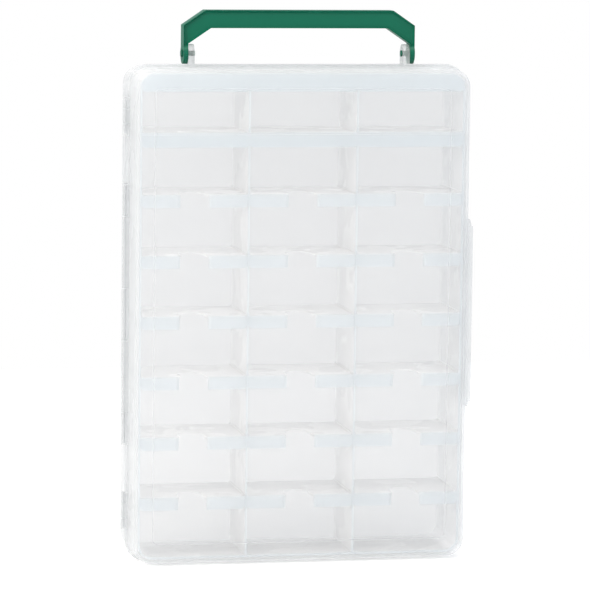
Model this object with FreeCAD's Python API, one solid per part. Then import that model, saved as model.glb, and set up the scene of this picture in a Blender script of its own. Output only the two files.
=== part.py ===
import FreeCAD, Part
import math
import os
from FreeCAD import Vector

os.makedirs("parts", exist_ok=True)

# A flat carrying case for sewing thread, standing on its long end. Millimetres, +Z up.
# The lid faces -Y, the hinge side is -X, the latch side is +X and the carrying handle is on top.
# The origin is the middle of the bounding box at the height of the floor.

# Case: two moulded shells that meet at a parting plane, each a little narrower away from it.
FACE_W = 270.0
FACE_H = 394.0
FACE_R = 14.0
DRAFT = 0.8
FLANGE_PROUD = 2.2
FLANGE_T = 1.8
FRONT_Y = -38.0
PARTING_Y = -8.0
BACK_Y = 38.0
BACK_DRAFT = 1.2
WALL = 2.0
EDGE_ROUND = 1.6
PARTING_GAP = 0.2
LID_FLANGE_SHORT = 0.3
PANEL_INSET = 14.5
PANEL_SINK = 0.6

# Hinges: a short one near each end and a long one in the middle, on one vertical axis.
HINGE_OUT = 3.4
BARREL_R = 2.4
HINGE_PIN_R = 1.1
PIN_FIT = 0.05
END_HINGE_Z = 158.5
END_KNUCKLES = [9.0, 12.0, 9.0]
MIDDLE_KNUCKLES = [26.0, 58.0, 42.0, 58.0, 26.0]
KNUCKLE_GAP = 0.3
HINGE_RELIEF = 0.5
PIN_STOP = 1.2

# Latch: one long flap on the base that lies over the side of the lid.
LATCH_LEN = 152.0
LATCH_AXIS_OUT = 2.4
LATCH_AXIS_BACK = 4.4
LATCH_BARREL_R = 2.1
LATCH_PIN_R = 0.9
LATCH_T = 2.2
LATCH_LUG = 12.0
LATCH_FRONT = 4.5
LATCH_END_CHAMFER = 5.0
LATCH_BEAD = 1.0
LATCH_LIP = 1.3
LATCH_CLEAR = 1.5
LID_FLANGE_LEFT = 0.1
BASE_FLANGE_LEFT = 0.4
SEAT_LEN = 262.0
SEAT_NEAR = 6.0
SEAT_WIDE = 7.0
SEAT_SINK = 0.6

# Handle: a ribbed bow between two ears on the base.
HANDLE_SHIFT = 1.5
HANDLE_HALF = 94.2
HANDLE_ARM_T = 3.7
HANDLE_DEPTH = 14.0
HANDLE_TOP_Z = 442.6
HANDLE_SHOULDER_HALF = 76.6
HANDLE_SHOULDER_Z = 430.6
HANDLE_UNDER_Z = 428.4
HANDLE_INNER_HALF = 72.2
HANDLE_ARM_TOP_Z = 416.0
HANDLE_POCKET = 2.6
HANDLE_LIP_TOP = 2.4
HANDLE_LIP_UNDER = 1.8
PIVOT_Z = 408.0
BOSS_R = 8.5
EAR_T = 4.8
EAR_R = 7.5
EAR_GAP = 0.4
PIVOT_R = 2.0
PIVOT_HEAD_R = 2.9
PIVOT_HEAD_T = 1.1

# Trays and dividers: three columns and eight rows of cells.
COLUMNS = 3
ROWS = 8
TRAY_HALF_W = 131.4
TRAY_HALF_H = 194.0
TRAY_R = 11.5
TRAY_FRONT_Y = -35.0
TRAY_BACK_Y = 35.6
TRAY_WALL = 1.4
TRAY_GAP = 0.3
RIB_HIGH = 1.0
RIB_THICK = 1.2
DIVIDER_T = 1.5
DIVIDER_FIT = 0.2
NOTCH_W = 21.0
NOTCH_DEEP = 28.0
NOTCH_MOUTH_R = 4.0
LIP_T = 1.2
LIP_DOWN = 8.5
LIP_R = 3.0
TOP_LIP_DOWN = 13.0

# Feet: two bars under the back of the base, level with the flange.
FOOT_LEN = 60.0
FOOT_AT = 84.0
FOOT_Y = 22.0
FOOT_WIDE = 10.0

RIM_HALF_W = FACE_W / 2 + DRAFT
RIM_HALF_H = FACE_H / 2 + DRAFT
FLANGE_HALF_W = RIM_HALF_W + FLANGE_PROUD
FLANGE_HALF_H = RIM_HALF_H + FLANGE_PROUD
MIDDLE_Z = FLANGE_HALF_H

HINGE_REACH = RIM_HALF_W + HINGE_OUT + BARREL_R
LATCH_REACH = RIM_HALF_W + LATCH_AXIS_OUT + LATCH_BARREL_R
MIDDLE_X = (HINGE_REACH - LATCH_REACH) / 2

HINGE_X = MIDDLE_X - RIM_HALF_W - HINGE_OUT
LATCH_X = MIDDLE_X + RIM_HALF_W + LATCH_AXIS_OUT
LATCH_Y = PARTING_Y + LATCH_AXIS_BACK
HANDLE_X = MIDDLE_X + HANDLE_SHIFT

COLUMN_PITCH = 2 * TRAY_HALF_W / COLUMNS
ROW_PITCH = 2 * TRAY_HALF_H / ROWS


def box(x0, x1, y0, y1, z0, z1):
    return Part.makeBox(x1 - x0, y1 - y0, z1 - z0, Vector(x0, y0, z0))


def rounded_outline(half_w, half_h, radius, y):
    """A rounded rectangle about the middle of the case, standing at depth y."""
    edges = []
    corners = [(1, 1), (-1, 1), (-1, -1), (1, -1)]
    ends = []
    for i, (sx, sz) in enumerate(corners):
        cx = MIDDLE_X + sx * (half_w - radius)
        cz = MIDDLE_Z + sz * (half_h - radius)
        start = math.radians(90 * i)
        turn = [start, start + math.pi / 4, start + math.pi / 2]
        arc = [Vector(cx + radius * math.cos(a), y, cz + radius * math.sin(a)) for a in turn]
        edges.append(Part.Arc(*arc).toShape())
        ends.append((arc[0], arc[2]))
    sides = [Part.makeLine(ends[i][1], ends[(i + 1) % 4][0]) for i in range(4)]
    ordered = []
    for i in range(4):
        ordered += [edges[i], sides[i]]
    return Part.Wire(ordered)


def rounded_block(near, far):
    """The solid between two rounded outlines, each given as half width, half height, radius, y."""
    return Part.makeLoft([rounded_outline(*near), rounded_outline(*far)], True, True)


def plate(points, y0, y1):
    """A plate with straight edges in XZ, from y0 to y1."""
    outline = [Vector(x, y0, z) for x, z in points]
    face = Part.Face(Part.makePolygon(outline + outline[:1]))
    return face.extrude(Vector(0, y1 - y0, 0))


def rod(x, y, z0, z1, radius):
    return Part.makeCylinder(radius, z1 - z0, Vector(x, y, z0))


def cross_rod(x0, x1, y, z, radius):
    return Part.makeCylinder(radius, x1 - x0, Vector(x0, y, z), Vector(1, 0, 0))


def face_edges(shape, y):
    """The edges of a shape that lie wholly in the plane at depth y."""
    return [e for e in shape.Edges if all(abs(v.Y - y) < 1e-6 for v in e.Vertexes)]


def knuckle_spans():
    """Every hinge's knuckles as (hinge name, owner, low z, high z), from the bottom up."""
    spans = []
    hinges = [
        ("lower", MIDDLE_Z - END_HINGE_Z, END_KNUCKLES),
        ("middle", MIDDLE_Z, MIDDLE_KNUCKLES),
        ("upper", MIDDLE_Z + END_HINGE_Z, END_KNUCKLES),
    ]
    for name, centre, lengths in hinges:
        z = centre - sum(lengths) / 2
        for i, length in enumerate(lengths):
            owner = "lid" if i % 2 else "base"
            spans.append((name, owner, z + KNUCKLE_GAP / 2, z + length - KNUCKLE_GAP / 2))
            z += length
    return spans


def hinge_ends(name):
    ends = [z for span in knuckle_spans() if span[0] == name for z in span[2:]]
    return min(ends), max(ends)


def add_knuckles(shell, owner):
    """Adds one shell's hinge knuckles, with the flange cut back beside the other shell's."""
    toward = -1 if owner == "lid" else 1
    edge = MIDDLE_X - RIM_HALF_W
    for name in ("lower", "middle", "upper"):
        low, high = hinge_ends(name)
        relief = box(edge - 6, edge - HINGE_RELIEF, PARTING_Y - 3, PARTING_Y + 3, low - 0.5, high + 0.5)
        shell = shell.cut(relief)
    solids = []
    for name, side, low, high in knuckle_spans():
        if side != owner:
            continue
        web_y = sorted([PARTING_Y + toward * 0.3, PARTING_Y + toward * 2.3])
        web = box(HINGE_X, edge + 0.4, web_y[0], web_y[1], low, high)
        solids.append(rod(HINGE_X, PARTING_Y, low, high, BARREL_R).fuse(web))
    shell = shell.fuse(solids)
    for name in ("lower", "middle", "upper"):
        low, high = hinge_ends(name)
        shell = shell.cut(rod(HINGE_X, PARTING_Y, low + PIN_STOP, high + 1, HINGE_PIN_R + PIN_FIT))
    return shell.removeSplitter()


def make_hinge_pin(name):
    low, high = hinge_ends(name)
    return rod(HINGE_X, PARTING_Y, low + PIN_STOP + 0.1, high, HINGE_PIN_R)


def latch_zone(left_on, half):
    """Where a flange is cut back on the latch side, for the flap to pass, with a little of it left on the wall."""
    edge = MIDDLE_X + RIM_HALF_W + left_on
    return box(edge, edge + 8, PARTING_Y - 3, PARTING_Y + 3, MIDDLE_Z - half, MIDDLE_Z + half)


def latch_lug_spans():
    """The base's three lugs on the latch axis."""
    half = LATCH_LEN / 2 - LATCH_LUG / 2
    return [(MIDDLE_Z + at - LATCH_LUG / 2, MIDDLE_Z + at + LATCH_LUG / 2) for at in (-half, 0, half)]


def flange(y0, y1, short):
    outline = (FLANGE_HALF_W - short, FLANGE_HALF_H - short, FACE_R + DRAFT + FLANGE_PROUD)
    return rounded_block((*outline, y0), (*outline, y1))


def make_lid():
    rim_y = PARTING_Y - PARTING_GAP / 2
    face = (FACE_W / 2, FACE_H / 2, FACE_R, FRONT_Y)
    rim = (RIM_HALF_W, RIM_HALF_H, FACE_R + DRAFT, rim_y)
    shell = rounded_block(face, rim)
    shell = shell.makeFillet(EDGE_ROUND, face_edges(shell, FRONT_Y))
    shell = shell.fuse(flange(rim_y - FLANGE_T, rim_y, LID_FLANGE_SHORT))
    inner_face = (FACE_W / 2 - WALL, FACE_H / 2 - WALL, FACE_R - WALL, FRONT_Y + WALL)
    inner_rim = (RIM_HALF_W - WALL, RIM_HALF_H - WALL, FACE_R + DRAFT - WALL, rim_y + 1)
    shell = shell.cut(rounded_block(inner_face, inner_rim))
    panel = (FACE_W / 2 - PANEL_INSET, FACE_H / 2 - PANEL_INSET, FACE_R / 2)
    shell = shell.cut(rounded_block((*panel, FRONT_Y - 1), (*panel, FRONT_Y + PANEL_SINK)))
    # The long shallow seat on the latch side that the flap's bead drops into.
    side = MIDDLE_X + FACE_W / 2
    near = FRONT_Y + SEAT_NEAR
    half = SEAT_LEN / 2
    seat = box(side - SEAT_SINK, side + 3, near, near + SEAT_WIDE, MIDDLE_Z - half, MIDDLE_Z + half)
    shell = shell.cut(seat)
    shell = shell.cut(latch_zone(LID_FLANGE_LEFT, FLANGE_HALF_H + 1))
    return add_knuckles(shell, "lid")


def make_ear(side):
    """An upright ear on the top of the base, just inside one arm of the handle."""
    outer = HANDLE_HALF - HANDLE_ARM_T - EAR_GAP
    x0 = HANDLE_X + side * outer - (EAR_T if side > 0 else 0)
    post = box(x0, x0 + EAR_T, -EAR_R, EAR_R, MIDDLE_Z + RIM_HALF_H - WALL, PIVOT_Z)
    ear = post.fuse(cross_rod(x0, x0 + EAR_T, 0, PIVOT_Z, EAR_R))
    return ear.cut(cross_rod(x0 - 1, x0 + EAR_T + 1, 0, PIVOT_Z, PIVOT_R + PIN_FIT))


def make_base():
    rim_y = PARTING_Y + PARTING_GAP / 2
    rim = (RIM_HALF_W, RIM_HALF_H, FACE_R + DRAFT, rim_y)
    back = (RIM_HALF_W - BACK_DRAFT, RIM_HALF_H - BACK_DRAFT, FACE_R, BACK_Y)
    shell = rounded_block(rim, back)
    shell = shell.makeFillet(EDGE_ROUND, face_edges(shell, BACK_Y))
    shell = shell.fuse(flange(rim_y, rim_y + FLANGE_T, 0))
    feet = []
    for side in (-1, 1):
        x = MIDDLE_X + side * FOOT_AT
        top = MIDDLE_Z - RIM_HALF_H + BACK_DRAFT + 0.4
        y1 = FOOT_Y + FOOT_WIDE
        feet.append(box(x - FOOT_LEN / 2, x + FOOT_LEN / 2, FOOT_Y, y1, 0, top))
    shell = shell.fuse([*feet, make_ear(-1), make_ear(1)])
    inner_rim = (RIM_HALF_W - WALL, RIM_HALF_H - WALL, FACE_R + DRAFT - WALL, rim_y - 1)
    inner_back = (RIM_HALF_W - BACK_DRAFT - WALL, RIM_HALF_H - BACK_DRAFT - WALL, FACE_R - WALL)
    shell = shell.cut(rounded_block(inner_rim, (*inner_back, BACK_Y - WALL)))
    shell = shell.cut(latch_zone(BASE_FLANGE_LEFT, LATCH_LEN / 2 + LATCH_CLEAR))
    lugs = []
    for low, high in latch_lug_spans():
        barrel = rod(LATCH_X, LATCH_Y, low, high, LATCH_BARREL_R)
        wall_x = MIDDLE_X + RIM_HALF_W - WALL / 2
        web = box(wall_x, LATCH_X, LATCH_Y - 1.2, LATCH_Y + LATCH_BARREL_R, low, high)
        lugs.append(barrel.fuse(web))
    shell = shell.fuse(lugs)
    lugs_low = latch_lug_spans()[0][0]
    lugs_high = latch_lug_spans()[-1][1]
    shell = shell.cut(rod(LATCH_X, LATCH_Y, lugs_low + PIN_STOP, lugs_high + 1, LATCH_PIN_R + PIN_FIT))
    return add_knuckles(shell, "base")


def make_latch_pin():
    low = latch_lug_spans()[0][0] + PIN_STOP + 0.1
    return rod(LATCH_X, LATCH_Y, low, latch_lug_spans()[-1][1], LATCH_PIN_R)


def make_latch_flap():
    """The flap: a thin plate with chamfered ends, a bead along its front edge and a finger lip."""
    inner_x = MIDDLE_X + RIM_HALF_W + 0.8
    outer_x = inner_x + LATCH_T
    front = FRONT_Y + LATCH_FRONT
    low = MIDDLE_Z - LATCH_LEN / 2
    high = MIDDLE_Z + LATCH_LEN / 2
    cut = LATCH_END_CHAMFER
    root = LATCH_Y - LATCH_BARREL_R - 0.5
    outline = [
        (low + cut, front),
        (high - cut, front),
        (high, front + cut),
        (high, root),
        (low, root),
        (low, front + cut),
    ]
    points = [Vector(inner_x, y, z) for z, y in outline]
    face = Part.Face(Part.makePolygon(points + points[:1]))
    flap = face.extrude(Vector(LATCH_T, 0, 0))
    bead_x = inner_x - LATCH_BEAD
    bead_y = FRONT_Y + SEAT_NEAR + SEAT_WIDE / 2
    bead_low = low + cut + 3
    bead_high = high - cut - 3
    bead = box(bead_x, inner_x + 0.5, bead_y - 1.5, bead_y + 1.5, bead_low, bead_high)
    lip = box(outer_x - 0.5, outer_x + LATCH_LIP, front, front + 2.0, low + cut, high - cut)
    solids = [bead, lip]
    spans = latch_lug_spans()
    for below, above in zip(spans, spans[1:]):
        z0 = below[1] + KNUCKLE_GAP
        z1 = above[0] - KNUCKLE_GAP
        barrel = rod(LATCH_X, LATCH_Y, z0, z1, LATCH_BARREL_R)
        neck = box(inner_x, outer_x, root - 1, LATCH_Y, z0, z1)
        solids.append(barrel.fuse(neck))
    flap = flap.fuse(solids)
    flap = flap.cut(rod(LATCH_X, LATCH_Y, low - 1, high + 1, LATCH_PIN_R + PIN_FIT))
    return flap.removeSplitter()


def handle_band(lip_outer, lip_inner, arm_z):
    """The bow's outline between its outer and inner edges, drawn in by the two lips."""
    top = HANDLE_TOP_Z - lip_outer
    under = HANDLE_UNDER_Z + lip_inner
    outer = [
        (HANDLE_HALF - lip_outer, arm_z),
        (HANDLE_HALF - lip_outer, HANDLE_SHOULDER_Z - lip_outer / 2),
        (HANDLE_SHOULDER_HALF - lip_outer / 3, top),
    ]
    inner = [
        (HANDLE_INNER_HALF + lip_inner / 3, under),
        (HANDLE_HALF - HANDLE_ARM_T + lip_inner / 3, arm_z),
    ]
    left_outer = [(-x, z) for x, z in reversed(outer)]
    left_inner = [(-x, z) for x, z in reversed(inner)]
    ring = outer + left_outer + left_inner + inner
    return [(HANDLE_X + x, z) for x, z in ring]


def make_handle():
    half = HANDLE_DEPTH / 2
    bow = plate(handle_band(0, 0, HANDLE_ARM_TOP_Z), -half, half)
    pocket = handle_band(HANDLE_LIP_TOP, HANDLE_LIP_UNDER, HANDLE_ARM_TOP_Z + 4.0)
    bow = bow.cut(plate(pocket, -half - 1, -half + HANDLE_POCKET))
    bow = bow.cut(plate(pocket, half - HANDLE_POCKET, half + 1))
    solids = []
    for side in (-1, 1):
        x0 = HANDLE_X + side * HANDLE_HALF - (HANDLE_ARM_T if side > 0 else 0)
        arm = box(x0, x0 + HANDLE_ARM_T, -half, half, PIVOT_Z, HANDLE_ARM_TOP_Z)
        solids.append(arm.fuse(cross_rod(x0, x0 + HANDLE_ARM_T, 0, PIVOT_Z, BOSS_R)))
    bow = bow.fuse(solids)
    reach = HANDLE_HALF + 2
    bore = cross_rod(HANDLE_X - reach, HANDLE_X + reach, 0, PIVOT_Z, PIVOT_R + PIN_FIT)
    return bow.cut(bore).removeSplitter()


def make_handle_pivot(side):
    """A headed stud through one arm and its ear, with a smaller retaining head inside."""
    outer = HANDLE_HALF + 0.1
    inner = HANDLE_HALF - HANDLE_ARM_T - EAR_GAP - EAR_T
    ends = sorted([HANDLE_X + side * inner, HANDLE_X + side * outer])
    stud = cross_rod(ends[0], ends[1], 0, PIVOT_Z, PIVOT_R)
    head_x = HANDLE_X + side * outer - (0 if side > 0 else PIVOT_HEAD_T)
    head = cross_rod(head_x, head_x + PIVOT_HEAD_T, 0, PIVOT_Z, PIVOT_HEAD_R)
    tail_x = HANDLE_X + side * inner - (PIVOT_HEAD_T if side > 0 else 0)
    tail = cross_rod(tail_x, tail_x + PIVOT_HEAD_T, 0, PIVOT_Z, PIVOT_R + 0.5)
    return stud.fuse([head, tail]).removeSplitter()


def row_line(i):
    """The height of the line between rows i and i + 1, counted from the top."""
    return MIDDLE_Z + TRAY_HALF_H - i * ROW_PITCH


def column_line(i):
    """The x of the line between columns i and i + 1, counted from the hinge side."""
    return MIDDLE_X - TRAY_HALF_W + i * COLUMN_PITCH


def tray_block(inset, low, high, y0, y1):
    """The part between two heights of the rounded block that fills the case."""
    outline = (TRAY_HALF_W - inset, TRAY_HALF_H - inset, TRAY_R - inset)
    block = rounded_block((*outline, y0), (*outline, y1))
    return block.common(box(-200, 200, y0, y1, low, high))


def lip(x0, x1, y, top, down):
    """A stiffening lip that hangs from a front edge, with its two lower corners rounded."""
    low = top - down
    pieces = [box(x0, x1, y, y + LIP_T, low + LIP_R, top), box(x0 + LIP_R, x1 - LIP_R, y, y + LIP_T, low, low + LIP_R + 0.5)]
    for x in (x0 + LIP_R, x1 - LIP_R):
        pieces.append(Part.makeCylinder(LIP_R, LIP_T, Vector(x, y, low + LIP_R), Vector(0, 1, 0)))
    return pieces[0].fuse(pieces[1:]).removeSplitter()


def make_tray(low, high, ribbed_lines, lip_down):
    """A tray from low to high with its outer walls, a floor and the two long walls."""
    tray = tray_block(0, low, high, TRAY_FRONT_Y, TRAY_BACK_Y)
    floor_y = TRAY_BACK_Y - TRAY_WALL
    inside = tray_block(TRAY_WALL, low + TRAY_WALL, high - TRAY_WALL, TRAY_FRONT_Y - 1, floor_y)
    tray = tray.cut(inside)
    half = TRAY_WALL / 2
    walls = []
    for i in range(1, COLUMNS):
        x = column_line(i)
        walls.append(box(x - half, x + half, TRAY_FRONT_Y, floor_y, low + half, high - half))
    # The top wall's front edge has a lip across each cell, kept within the tray's rounded corners.
    within = tray_block(half, low + half, high - half, TRAY_FRONT_Y, TRAY_BACK_Y)
    for column in range(COLUMNS):
        x0, x1 = cell_sides(column)
        walls.append(lip(x0 - half / 2, x1 + half / 2, TRAY_FRONT_Y, high - half, lip_down + half).common(within))
    # Pairs of ribs up both sides of each column, which the dividers slide down between.
    for line in ribbed_lines:
        for column in range(COLUMNS):
            x0, x1 = cell_sides(column)
            for edge, inward in ((x0, 1), (x1, -1)):
                for side in (-1, 1):
                    z = row_line(line) + side * (DIVIDER_T / 2 + DIVIDER_FIT + RIB_THICK / 2)
                    xs = sorted([edge - inward * half / 2, edge + inward * RIB_HIGH])
                    y0 = TRAY_FRONT_Y + 2
                    walls.append(box(xs[0], xs[1], y0, floor_y, z - RIB_THICK / 2, z + RIB_THICK / 2))
    return tray.fuse(walls).removeSplitter()


def cell_sides(column):
    """The inner faces of the walls on both sides of a column."""
    x0 = column_line(column) + (TRAY_WALL if column == 0 else TRAY_WALL / 2)
    x1 = column_line(column + 1) - (TRAY_WALL if column == COLUMNS - 1 else TRAY_WALL / 2)
    return x0, x1


def make_divider(line, column):
    """A thin cross wall with a front lip, and a U-shaped finger notch through both."""
    x0, x1 = cell_sides(column)
    x0 += DIVIDER_FIT
    x1 -= DIVIDER_FIT
    front = TRAY_FRONT_Y + 0.4
    back = TRAY_BACK_Y - TRAY_WALL - DIVIDER_FIT
    z0 = row_line(line) - DIVIDER_T / 2
    z1 = z0 + DIVIDER_T
    wall = box(x0, x1, front, back, z0, z1)
    wall = wall.fuse(lip(x0, x1, front, z1, DIVIDER_T + LIP_DOWN)).removeSplitter()
    cut_z = z0 - LIP_DOWN - 1
    centre = (x0 + x1) / 2
    r = NOTCH_W / 2
    deep = front + NOTCH_DEEP - r
    notch = box(centre - r, centre + r, front - 1, deep, cut_z, z1 + 1)
    notch = notch.fuse(rod(centre, deep, cut_z, z1 + 1, r))
    wall = wall.cut(notch)
    mouth = NOTCH_MOUTH_R
    for side in (-1, 1):
        x = centre + side * r
        xs = sorted([x, x + side * mouth])
        corner = box(xs[0], xs[1], front - 1, front + mouth, cut_z, z1 + 1)
        corner = corner.cut(rod(x + side * mouth, front + mouth, cut_z - 1, z1 + 2, mouth))
        wall = wall.cut(corner)
    return wall


parts = {
    "base_shell": make_base(),
    "lid_shell": make_lid(),
    "hinge_pin_upper": make_hinge_pin("upper"),
    "hinge_pin_middle": make_hinge_pin("middle"),
    "hinge_pin_lower": make_hinge_pin("lower"),
    "latch_flap": make_latch_flap(),
    "latch_pin": make_latch_pin(),
    "handle": make_handle(),
    "handle_pivot_left": make_handle_pivot(-1),
    "handle_pivot_right": make_handle_pivot(1),
}

split_z = row_line(1)
parts["accessory_tray"] = make_tray(split_z + TRAY_GAP / 2, MIDDLE_Z + TRAY_HALF_H, [], TOP_LIP_DOWN)
divider_lines = range(2, ROWS)
parts["thread_tray"] = make_tray(MIDDLE_Z - TRAY_HALF_H, split_z - TRAY_GAP / 2, divider_lines, LIP_DOWN)
for line in divider_lines:
    for column, side in enumerate(("left", "middle", "right")):
        parts[f"divider_{line - 1}_{side}"] = make_divider(line, column)

for node, shape in parts.items():
    solid_count = len(shape.Solids)
    if solid_count != 1 or not shape.isValid():
        raise SystemExit(f"{node}: {solid_count} solids, valid {shape.isValid()}")
    shape.Solids[0].exportStep(f"parts/{node}.step")
    size = shape.BoundBox
    print(f"{node:22s} {size.XMin:8.2f} {size.XMax:8.2f} {size.YMin:7.2f} {size.YMax:7.2f} "
          f"{size.ZMin:7.2f} {size.ZMax:7.2f}  {shape.Volume / 1000:7.2f} cm3")
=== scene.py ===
import math

import bmesh
import bpy
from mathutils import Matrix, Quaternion, Vector


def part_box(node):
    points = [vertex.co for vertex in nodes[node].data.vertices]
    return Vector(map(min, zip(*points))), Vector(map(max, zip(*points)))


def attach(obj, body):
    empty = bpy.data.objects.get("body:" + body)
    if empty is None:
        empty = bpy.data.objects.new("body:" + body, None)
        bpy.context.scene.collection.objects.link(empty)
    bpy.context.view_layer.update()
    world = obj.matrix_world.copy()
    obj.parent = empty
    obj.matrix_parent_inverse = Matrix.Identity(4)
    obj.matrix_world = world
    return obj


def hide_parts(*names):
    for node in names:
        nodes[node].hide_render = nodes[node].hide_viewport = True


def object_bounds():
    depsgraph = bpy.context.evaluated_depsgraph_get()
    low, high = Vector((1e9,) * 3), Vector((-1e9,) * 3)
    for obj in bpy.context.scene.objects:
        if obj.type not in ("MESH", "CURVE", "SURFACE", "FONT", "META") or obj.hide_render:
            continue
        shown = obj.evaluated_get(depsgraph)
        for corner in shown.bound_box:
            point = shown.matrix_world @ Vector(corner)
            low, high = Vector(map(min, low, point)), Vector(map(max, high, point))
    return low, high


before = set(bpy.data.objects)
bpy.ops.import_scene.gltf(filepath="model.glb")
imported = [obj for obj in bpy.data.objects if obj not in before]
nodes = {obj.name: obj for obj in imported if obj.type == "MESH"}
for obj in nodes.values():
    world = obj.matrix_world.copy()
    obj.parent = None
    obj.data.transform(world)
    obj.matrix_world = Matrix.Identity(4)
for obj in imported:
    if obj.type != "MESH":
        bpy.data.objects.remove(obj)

cadBox = [list(corner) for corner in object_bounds()]
bpy.ops.object.select_all(action="DESELECT")
mm = 0.001


def linearFromHex(code):
    # sRGB hex to the linear values that the shaders take
    parts = [int(code[i:i + 2], 16) / 255 for i in (1, 3, 5)]
    return tuple(c / 12.92 if c <= 0.04045 else ((c + 0.055) / 1.055) ** 2.4 for c in parts) + (1.0,)


def addNode(tree, kind, settings=None, links=None):
    # one node, its plain values by input name or index, and its inputs' sources
    node = tree.nodes.new(kind)
    for name, value in (settings or {}).items():
        if isinstance(name, int) or name in node.inputs:
            node.inputs[name].default_value = value
        else:
            setattr(node, name, value)
    for name, source in (links or {}).items():
        tree.links.new(source, node.inputs[name])
    return node


def startMaterial(name):
    material = bpy.data.materials.new(name)
    material.use_nodes = True
    tree = material.node_tree
    tree.nodes.clear()
    return material, tree


def putMaterial(piece, material):
    piece.data.materials.clear()
    piece.data.materials.append(material)


# Natural polypropylene, injection moulded with a satin skin. Some light passes straight, some is scattered on
# through the wall and some comes back, so the walls look like thin milk. A wall seen edge on looks denser.
shellLook = {
    "colour": "#f4f5f6",
    "clear": 0.81,
    "clearEdgeOn": 0.25,
    "scatterThrough": 0.62,
    "denserFrom": 0.4,  # how far a wall turns from the view before it looks denser, 0 to 1
    "turnBlend": 0.35,
    "refraction": 1.49,
    "specular": 0.4,
    "roughness": 0.27,
    "roughnessVaries": 0.06,
    "grainMm": 0.8,
    "grainDepthMm": 0.015,
    "grainStrength": 0.5,
    "flowMm": 45.0,
    # painted shade along the trays' front edges: the band's width, its fade, its bluish grey colour and how
    # much less clear it is
    "shadedEdgeBandMm": None,
    "shadedEdgeFadeMm": 0.2,
    "edgeShadeColour": "#e6edf1",
    "edgeShadeDenser": 0.2,
    "rimColour": "#eef0f1",
    "rimDenser": 0.22,
    "rimFadeMm": 0.5,
    "rimHalfWideMm": 132.0,
    "rimHalfHighMm": 194.8,
    "rimShiftMm": 2.7,  # from the middle of the lid's box to the middle of its face
}
# the trays get the painted shade band along their front edges
trayLook = dict(shellLook, colour="#fbfbfb", clear=0.52, clearEdgeOn=0.2, scatterThrough=0.5, shadedEdgeBandMm=1.7)


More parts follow.
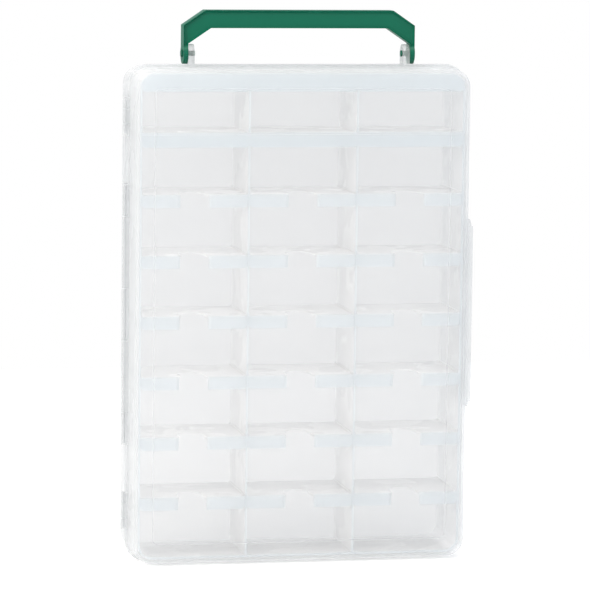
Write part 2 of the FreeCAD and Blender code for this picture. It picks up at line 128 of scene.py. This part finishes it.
def makeMilkyPlastic(name, look, frontY):
    material, tree = startMaterial(name)
    place = addNode(tree, "ShaderNodeTexCoord")
    grain = addNode(tree, "ShaderNodeTexNoise",
                    {"Scale": 1 / (look["grainMm"] * mm), "Detail": 2.0, "Roughness": 0.6},
                    {"Vector": place.outputs["Object"]})
    flow = addNode(tree, "ShaderNodeTexNoise",
                   {"Scale": 1 / (look["flowMm"] * mm), "Detail": 3.0, "Roughness": 0.5},
                   {"Vector": place.outputs["Object"]})
    satin = addNode(tree, "ShaderNodeMapRange",
                    {"From Min": 0.3, "From Max": 0.7,
                     "To Min": look["roughness"] - look["roughnessVaries"],
                     "To Max": look["roughness"] + look["roughnessVaries"]},
                    {"Value": flow.outputs["Fac"]})
    bump = addNode(tree, "ShaderNodeBump",
                   {"Strength": look["grainStrength"], "Distance": look["grainDepthMm"] * mm},
                   {"Height": grain.outputs["Fac"]})
    facing = addNode(tree, "ShaderNodeLayerWeight", {"Blend": look["turnBlend"]})
    clear = addNode(tree, "ShaderNodeMapRange",
                    {"From Min": look["denserFrom"], "From Max": 1.0,
                     "To Min": look["clear"], "To Max": look["clearEdgeOn"]},
                    {"Value": facing.outputs["Facing"]})
    surface = addNode(tree, "ShaderNodeBsdfPrincipled",
                      {"IOR": look["refraction"], "Specular IOR Level": look["specular"]},
                      {"Roughness": satin.outputs["Result"], "Normal": bump.outputs["Normal"]})
    through = addNode(tree, "ShaderNodeBsdfTranslucent")
    if look["shadedEdgeBandMm"]:
        # painted shade: a band along the front lips and edges is tinted bluish grey and made less clear,
        # standing in for the shade just under each divider's front edge
        axes = addNode(tree, "ShaderNodeSeparateXYZ", None, {"Vector": place.outputs["Object"]})
        edge = addNode(tree, "ShaderNodeMapRange",
                       {"From Min": frontY + (look["shadedEdgeBandMm"] - look["shadedEdgeFadeMm"]) * mm,
                        "From Max": frontY + look["shadedEdgeBandMm"] * mm, "To Min": 1.0, "To Max": 0.0},
                       {"Value": axes.outputs["Y"]})
        tint = addNode(tree, "ShaderNodeMix", {"data_type": "RGBA", 6: linearFromHex(look["colour"]),
                                               7: linearFromHex(look["edgeShadeColour"])},
                       {0: edge.outputs["Result"]})
        clear = addNode(tree, "ShaderNodeMath", {"operation": "MULTIPLY_ADD", 1: -look["edgeShadeDenser"]},
                        {0: edge.outputs["Result"], 2: clear.outputs["Result"]})
    else:
        # outside the trays the walls, flanges, hinges and latch are doubled up, so they look denser
        rimLow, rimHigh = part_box("lid_shell")
        axes = addNode(tree, "ShaderNodeSeparateXYZ", None, {"Vector": place.outputs["Object"]})
        past = []
        for axis, middleOf, reach in (
                ("X", (rimLow.x + rimHigh.x) / 2 + look["rimShiftMm"] * mm, look["rimHalfWideMm"] * mm),
                ("Z", (rimLow.z + rimHigh.z) / 2, look["rimHalfHighMm"] * mm)):
            away = addNode(tree, "ShaderNodeMath", {"operation": "SUBTRACT", 1: middleOf},
                           {0: axes.outputs[axis]})
            away = addNode(tree, "ShaderNodeMath", {"operation": "ABSOLUTE"}, {0: away.outputs[0]})
            past.append(addNode(tree, "ShaderNodeMath", {"operation": "SUBTRACT", 1: reach},
                                {0: away.outputs[0]}))
        rim = addNode(tree, "ShaderNodeMath", {"operation": "MAXIMUM"},
                      {0: past[0].outputs[0], 1: past[1].outputs[0]})
        rim = addNode(tree, "ShaderNodeMapRange", {"From Min": 0.0, "From Max": look["rimFadeMm"] * mm},
                      {"Value": rim.outputs[0]})
        tint = addNode(tree, "ShaderNodeMix", {"data_type": "RGBA", 6: linearFromHex(look["colour"]),
                                               7: linearFromHex(look["rimColour"])},
                       {0: rim.outputs["Result"]})
        clear = addNode(tree, "ShaderNodeMath", {"operation": "MULTIPLY_ADD", 1: -look["rimDenser"]},
                        {0: rim.outputs["Result"], 2: clear.outputs["Result"]})
    tree.links.new(tint.outputs[2], surface.inputs["Base Color"])
    tree.links.new(tint.outputs[2], through.inputs["Color"])
    milk = addNode(tree, "ShaderNodeMixShader", {0: look["scatterThrough"]},
                   {1: surface.outputs["BSDF"], 2: through.outputs["BSDF"]})
    straight = addNode(tree, "ShaderNodeBsdfTransparent", {"Color": linearFromHex("#fefefe")})
    wall = addNode(tree, "ShaderNodeMixShader", None,
                   {0: clear.outputs[0], 1: milk.outputs["Shader"], 2: straight.outputs["BSDF"]})
    addNode(tree, "ShaderNodeOutputMaterial", None, {"Surface": wall.outputs["Shader"]})
    return material


# Green polypropylene, injection moulded, semi-gloss.
greenLook = {
    "colour": "#046149",
    "roughness": 0.42,
    "specular": 0.25,
    "grainMm": 0.7,
    "grainDepthMm": 0.05,
    "grainStrength": 0.08,
}


def makeGreenPlastic(name, look):
    material, tree = startMaterial(name)
    place = addNode(tree, "ShaderNodeTexCoord")
    grain = addNode(tree, "ShaderNodeTexNoise",
                    {"Scale": 1 / (look["grainMm"] * mm), "Detail": 2.0},
                    {"Vector": place.outputs["Object"]})
    bump = addNode(tree, "ShaderNodeBump",
                   {"Strength": look["grainStrength"], "Distance": look["grainDepthMm"] * mm},
                   {"Height": grain.outputs["Fac"]})
    shader = addNode(tree, "ShaderNodeBsdfPrincipled",
                     {"Base Color": linearFromHex(look["colour"]), "Roughness": look["roughness"],
                      "Specular IOR Level": look["specular"]},
                     {"Normal": bump.outputs["Normal"]})
    addNode(tree, "ShaderNodeOutputMaterial", None, {"Surface": shader.outputs["BSDF"]})
    return material


# Drawn steel wire, bright.
steelLook = {"colour": "#dfe1e3", "roughness": 0.28, "scratchMm": 0.4}


def makeSteelWire(name, look):
    material, tree = startMaterial(name)
    place = addNode(tree, "ShaderNodeTexCoord")
    along = addNode(tree, "ShaderNodeMapping", {"Scale": (1.0, 1.0, 0.02)},
                    {"Vector": place.outputs["Object"]})
    draw = addNode(tree, "ShaderNodeTexNoise",
                   {"Scale": 1 / (look["scratchMm"] * mm), "Detail": 2.0},
                   {"Vector": along.outputs["Vector"]})
    shine = addNode(tree, "ShaderNodeMapRange",
                    {"To Min": look["roughness"] - 0.08, "To Max": look["roughness"] + 0.1},
                    {"Value": draw.outputs["Fac"]})
    shader = addNode(tree, "ShaderNodeBsdfPrincipled",
                     {"Base Color": linearFromHex(look["colour"]), "Metallic": 1.0},
                     {"Roughness": shine.outputs["Result"]})
    addNode(tree, "ShaderNodeOutputMaterial", None, {"Surface": shader.outputs["BSDF"]})
    return material


milkyShell = makeMilkyPlastic("MilkyPolypropyleneShell", shellLook, 0.0)
milkyTray = makeMilkyPlastic("MilkyPolypropyleneTray", trayLook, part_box("thread_tray")[0].y)
greenPlastic = makeGreenPlastic("GreenPolypropyleneSemiGloss", greenLook)
steelWire = makeSteelWire("DrawnSteelWire", steelLook)

for name, node in nodes.items():
    if name in ("base_shell", "lid_shell", "latch_flap"):
        putMaterial(node, milkyShell)
    elif "tray" in name or name.startswith("divider"):
        putMaterial(node, milkyTray)
    elif name.startswith("handle"):
        putMaterial(node, greenPlastic)
    else:
        putMaterial(node, steelWire)
print("materials on the CAD nodes")


def selectFaces(choose):
    # selects the faces of the mesh in edit mode that choose(face) accepts
    mesh = bmesh.from_edit_mesh(bpy.context.edit_object.data)
    for face in mesh.faces:
        face.select_set(False)
    for face in filter(choose, mesh.faces):
        face.select_set(True)
    bmesh.update_edit_mesh(bpy.context.edit_object.data)


def selectPoints(choose):
    mesh = bmesh.from_edit_mesh(bpy.context.edit_object.data)
    bpy.ops.mesh.select_mode(type="VERT")
    for point in mesh.verts:
        point.select_set(choose(point.co))
    mesh.select_flush_mode()
    bmesh.update_edit_mesh(bpy.context.edit_object.data)


def startBlock(name, lowCorner, highCorner):
    # a cube primitive at its size and place, with its object at the origin
    lowCorner, highCorner = Vector(lowCorner), Vector(highCorner)
    bpy.ops.mesh.primitive_cube_add(size=1, location=(lowCorner + highCorner) / 2,
                                    scale=highCorner - lowCorner)
    bpy.ops.object.transform_apply(location=True, rotation=True, scale=True)
    block = bpy.context.active_object
    block.name = name
    return block


def startRod(name, middlePoint, radius, length, points=64):
    # a cylinder primitive along X
    bpy.ops.mesh.primitive_cylinder_add(radius=radius, depth=length, vertices=points, location=middlePoint,
                                        rotation=(0, math.pi / 2, 0))
    bpy.ops.object.transform_apply(location=True, rotation=True, scale=True)
    rod = bpy.context.active_object
    rod.name = name
    return rod


def combine(piece, tool, how):
    # a boolean with a tool that is then thrown away
    bpy.context.view_layer.objects.active = piece
    step = piece.modifiers.new(how.title(), "BOOLEAN")
    step.operation = how
    step.object = tool
    step.solver = "EXACT"
    bpy.ops.object.modifier_apply(modifier=step.name)
    bpy.data.objects.remove(tool)


def roundEdges(piece, width, segments=3, angle=32):
    bpy.context.view_layer.objects.active = piece
    step = piece.modifiers.new("Bevel", "BEVEL")
    step.width = width
    step.segments = segments
    step.limit_method = "ANGLE"
    step.angle_limit = math.radians(angle)
    step.use_clamp_overlap = True
    bpy.ops.object.modifier_apply(modifier=step.name)
    bpy.ops.object.select_all(action="DESELECT")
    piece.select_set(True)
    bpy.ops.object.shade_smooth_by_angle(angle=math.radians(28))
    bpy.ops.object.select_all(action="DESELECT")


handleShape = {
    "barHighMm": 14.2,
    "shoulderInMm": 17.6,
    "shoulderDropMm": 12.0,
    "innerInMm": 22.0,
    "innerDropMm": 26.6,
    "armThickMm": 3.7,
    "depthMm": 14.0,
    "bossRadiusMm": 8.5,
    "lipMm": 1.2,
    "topLipMoreMm": 1.1,
    "pocketMm": 2.6,
    "boreMm": 2.06,
    "edgeRoundMm": 0.45,
}


def makeHandle():
    lowCorner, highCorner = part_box("handle")
    value = {key: size * mm for key, size in handleShape.items()}
    centre = (lowCorner.x + highCorner.x) / 2
    half = (highCorner.x - lowCorner.x) / 2
    top = highCorner.z
    pivotZ = lowCorner.z + value["bossRadiusMm"]
    deep = value["depthMm"] / 2
    outerHalf = half - value["shoulderInMm"]
    innerHalf = half - value["innerInMm"]
    barUnder = top - value["barHighMm"]
    bow = startBlock("handleBow", (centre - innerHalf, -deep, barUnder), (centre + innerHalf, deep, top))
    bpy.ops.object.mode_set(mode="EDIT")
    # the top of the bar is longer than its underside
    selectPoints(lambda co: co.z > top - 0.1 * mm)
    bpy.ops.transform.resize(value=(outerHalf / innerHalf, 1, 1), center_override=(centre, 0, top))
    for side in (-1, 1):
        # shoulder: pull the end face out, and let its top and bottom edges down to the arm
        selectFaces(lambda face: face.normal.x * side > 0.5
                    and (face.calc_center_median().x - centre) * side > 0)
        bpy.ops.mesh.extrude_region_move(TRANSFORM_OT_translate={"value": (0, 0, 0)})
        mesh = bmesh.from_edit_mesh(bow.data)
        for point in mesh.verts:
            if point.select and point.co.z > top - 1 * mm:
                point.co.x, point.co.z = centre + side * half, top - value["shoulderDropMm"]
            elif point.select:
                point.co.x = centre + side * (half - value["armThickMm"])
                point.co.z = top - value["innerDropMm"]
        bmesh.update_edit_mesh(bow.data)
        # arm: straight down to the pivot
        bpy.ops.mesh.extrude_region_move(TRANSFORM_OT_translate={"value": (0, 0, 0)})
        mesh = bmesh.from_edit_mesh(bow.data)
        for point in mesh.verts:
            if point.select:
                point.co.z = pivotZ
        bmesh.update_edit_mesh(bow.data)
    bpy.ops.mesh.select_all(action="SELECT")
    bpy.ops.mesh.remove_doubles(threshold=0.01 * mm)
    bpy.ops.mesh.normals_make_consistent(inside=False)
    # the lips: inset both broad sides and sink what is inside them, a little lower under the thicker top lip
    for side in (-1, 1):
        bpy.ops.mesh.select_mode(type="FACE")
        selectFaces(lambda face: face.normal.y * side > 0.9)
        bpy.ops.mesh.inset(thickness=value["lipMm"], use_even_offset=True)
        mesh = bmesh.from_edit_mesh(bow.data)
        for point in mesh.verts:
            if point.select and point.co.z > top - value["lipMm"] - 0.3 * mm:
                point.co.z -= value["topLipMoreMm"]
        bmesh.update_edit_mesh(bow.data)
        bpy.ops.transform.translate(value=(0, -side * value["pocketMm"], 0))
    bpy.ops.object.mode_set(mode="OBJECT")
    bpy.ops.object.select_all(action="DESELECT")
    for side in (-1, 1):
        armX = centre + side * (half - value["armThickMm"] / 2)
        boss = startRod("boss", (armX, 0, pivotZ), value["bossRadiusMm"], value["armThickMm"])
        combine(bow, boss, "UNION")
        bore = startRod("bore", (armX, 0, pivotZ), value["boreMm"], value["armThickMm"] * 2, 32)
        combine(bow, bore, "DIFFERENCE")
    roundEdges(bow, value["edgeRoundMm"])
    putMaterial(bow, greenPlastic)
    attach(bow, "handle")
    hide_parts("handle")


# A small ring where the plastic entered the mould, in the upper left corner of the lid's sunk panel.
gateMark = {
    "fromLeftMm": 25.6,
    "fromTopMm": 21.7,
    "ringRadiusMm": 2.2,
    "beadRadiusMm": 0.22,
    "panelSinkMm": 0.6,
}


def makeGateMark():
    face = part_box("lid_shell")
    x = face[0].x + gateMark["fromLeftMm"] * mm
    z = face[1].z - gateMark["fromTopMm"] * mm
    y = face[0].y + gateMark["panelSinkMm"] * mm
    bpy.ops.mesh.primitive_torus_add(location=(x, y, z), rotation=(math.pi / 2, 0, 0),
                                     major_radius=gateMark["ringRadiusMm"] * mm,
                                     minor_radius=gateMark["beadRadiusMm"] * mm,
                                     major_segments=48, minor_segments=12)
    bpy.ops.object.transform_apply(location=True, rotation=True, scale=True)
    ring = bpy.context.active_object
    ring.name = "gateMark"
    bpy.ops.object.shade_smooth()
    bpy.ops.object.select_all(action="DESELECT")
    putMaterial(ring, milkyShell)
    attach(ring, "lid")


# The sunk panel of the lid has a low rounded bead just inside its edge.
panelBead = {
    "insetMm": 14.8,
    "wideMm": 1.0,
    "highMm": 0.45,
    "cornerMm": 5.0,
    "panelSinkMm": 0.6,
    "edgeRoundMm": 0.2,
    "faceWideMm": 270.0,
    "flangeMarginMm": 2.7,  # from the lid's box to its face, above and below
    "latchMarginMm": 1.2,  # the same on the latch side, where there is no flange
}


def makeRoundedSlab(name, x0, x1, y0, y1, z0, z1, corner):
    # a block whose four edges along Y are rounded
    slab = startBlock(name, (x0, y0, z0), (x1, y1, z1))
    bpy.ops.object.mode_set(mode="EDIT")
    bpy.ops.mesh.select_mode(type="EDGE")
    mesh = bmesh.from_edit_mesh(slab.data)
    for edge in mesh.edges:
        along = edge.verts[0].co - edge.verts[1].co
        edge.select_set(abs(along.y) > 0.9 * along.length)
    bmesh.update_edit_mesh(slab.data)
    bpy.ops.mesh.bevel(offset=corner, segments=10)
    bpy.ops.object.mode_set(mode="OBJECT")
    return slab


def makePanelBead():
    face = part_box("lid_shell")
    faceWide = panelBead["faceWideMm"] * mm
    flangeMargin, latchMargin = panelBead["flangeMarginMm"] * mm, panelBead["latchMarginMm"] * mm
    inset, wide = panelBead["insetMm"] * mm, panelBead["wideMm"] * mm
    right = face[1].x - latchMargin - inset
    left = right - (faceWide - 2 * inset)
    top, bottom = face[1].z - flangeMargin - inset, face[0].z + flangeMargin + inset
    back = face[0].y + panelBead["panelSinkMm"] * mm
    front = back - panelBead["highMm"] * mm
    corner = panelBead["cornerMm"] * mm
    bead = makeRoundedSlab("panelBead", left, right, front, back, bottom, top, corner)
    inner = makeRoundedSlab("inner", left + wide, right - wide, front - mm, back + mm,
                            bottom + wide, top - wide, corner - wide)
    combine(bead, inner, "DIFFERENCE")
    roundEdges(bead, panelBead["edgeRoundMm"] * mm, 2)
    putMaterial(bead, milkyShell)
    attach(bead, "lid")


makeHandle()
print("handle modelled")
makePanelBead()
print("panel bead modelled")
makeGateMark()
print("gate mark modelled")

# The studio: a pale floor, a white surround and three soft lamps.
studio = {
    "floorSize": 2.2,
    "floorGapMm": 0.05,
    "floorColour": "#fafafa",
    "floorGlow": 0.19,
    "backdrop": "#ffffff",
    "surround": "#eef2f8",
    "surroundStrength": 0.79,
    "lamps": [
        # name, place, width, height, watts, colour
        ("keyLamp", (-1.7, -1.1, 1.2), 0.9, 0.9, 27.0, "#fff5ea"),
        ("topLamp", (-0.2, 0.35, 1.6), 0.8, 0.6, 7.0, "#fff9f0"),
        ("frontTopLamp", (0.2, -0.9, 1.7), 0.9, 0.5, 10.0, "#fff9f2"),
    ],
}
low, high = (Vector(corner) for corner in cadBox)
middle = (low + high) / 2


def makeFloor():
    height = low.z - studio["floorGapMm"] * mm
    bpy.ops.mesh.primitive_plane_add(size=studio["floorSize"], location=(0, 0, height))
    floor = bpy.context.active_object
    floor.name = "studioFloor"
    material, tree = startMaterial("MattePaperFloor")
    shader = addNode(tree, "ShaderNodeBsdfPrincipled",
                     {"Base Color": linearFromHex(studio["floorColour"]),
                      "Roughness": 1.0, "Specular IOR Level": 0.0,
                      "Emission Color": linearFromHex(studio["floorColour"]),
                      "Emission Strength": studio["floorGlow"]})
    addNode(tree, "ShaderNodeOutputMaterial", None, {"Surface": shader.outputs["BSDF"]})
    floor.data.materials.append(material)


def makeLamps():
    for name, place, wide, tall, watts, colour in studio["lamps"]:
        bpy.ops.object.light_add(type="AREA", location=place)
        lamp = bpy.context.active_object
        lamp.name = name
        lamp.data.shape = "RECTANGLE"
        lamp.data.size = wide
        lamp.data.size_y = tall
        lamp.data.energy = watts
        lamp.data.color = linearFromHex(colour)[:3]
        lamp.rotation_euler = (middle - Vector(place)).to_track_quat("-Z", "Y").to_euler()
        lamp.visible_camera = False


def makeSurround():
    world = bpy.data.worlds.new("whiteSurround")
    bpy.context.scene.world = world
    world.use_nodes = True
    world.node_tree.nodes.clear()
    tree = world.node_tree
    light = addNode(tree, "ShaderNodeBackground",
                    {"Color": linearFromHex(studio["surround"]), "Strength": studio["surroundStrength"]})
    backdrop = addNode(tree, "ShaderNodeBackground",
                       {"Color": linearFromHex(studio["backdrop"]), "Strength": 1.0})
    path = addNode(tree, "ShaderNodeLightPath")
    seen = addNode(tree, "ShaderNodeMixShader", None,
                   {0: path.outputs["Is Camera Ray"], 1: light.outputs["Background"],
                    2: backdrop.outputs["Background"]})
    addNode(tree, "ShaderNodeOutputWorld", None, {"Surface": seen.outputs["Shader"]})


# The camera stands a little left of the front and above the middle, far off, so the case looks nearly flat.
cameraSetup = {
    "azimuth": -11.5,
    "elevation": 6.8,
    "distance": 3.0,
    "lens": 226.7,
    "aim": (1.9 * mm, 0.0, 213.0 * mm),
    "roll": 0.0115,
}


def makeCamera():
    a = math.radians(cameraSetup["azimuth"])
    e = math.radians(cameraSetup["elevation"])
    back = Vector((math.sin(a) * math.cos(e), -math.cos(a) * math.cos(e), math.sin(e)))
    bpy.ops.object.camera_add(location=Vector(cameraSetup["aim"]) + back * cameraSetup["distance"])
    camera = bpy.context.active_object
    camera.name = "studioCamera"
    camera.data.lens = cameraSetup["lens"]
    camera.data.clip_end = 50
    camera.rotation_mode = "QUATERNION"
    level = (-back).to_track_quat("-Z", "Y")
    camera.rotation_quaternion = level @ Quaternion((0, 0, 1), cameraSetup["roll"])
    bpy.context.scene.camera = camera


makeFloor()
makeLamps()
makeSurround()
makeCamera()
scene = bpy.context.scene
scene.view_settings.view_transform = "Standard"
scene.cycles.max_bounces = 8
scene.cycles.transparent_max_bounces = 40
print("studio and camera")
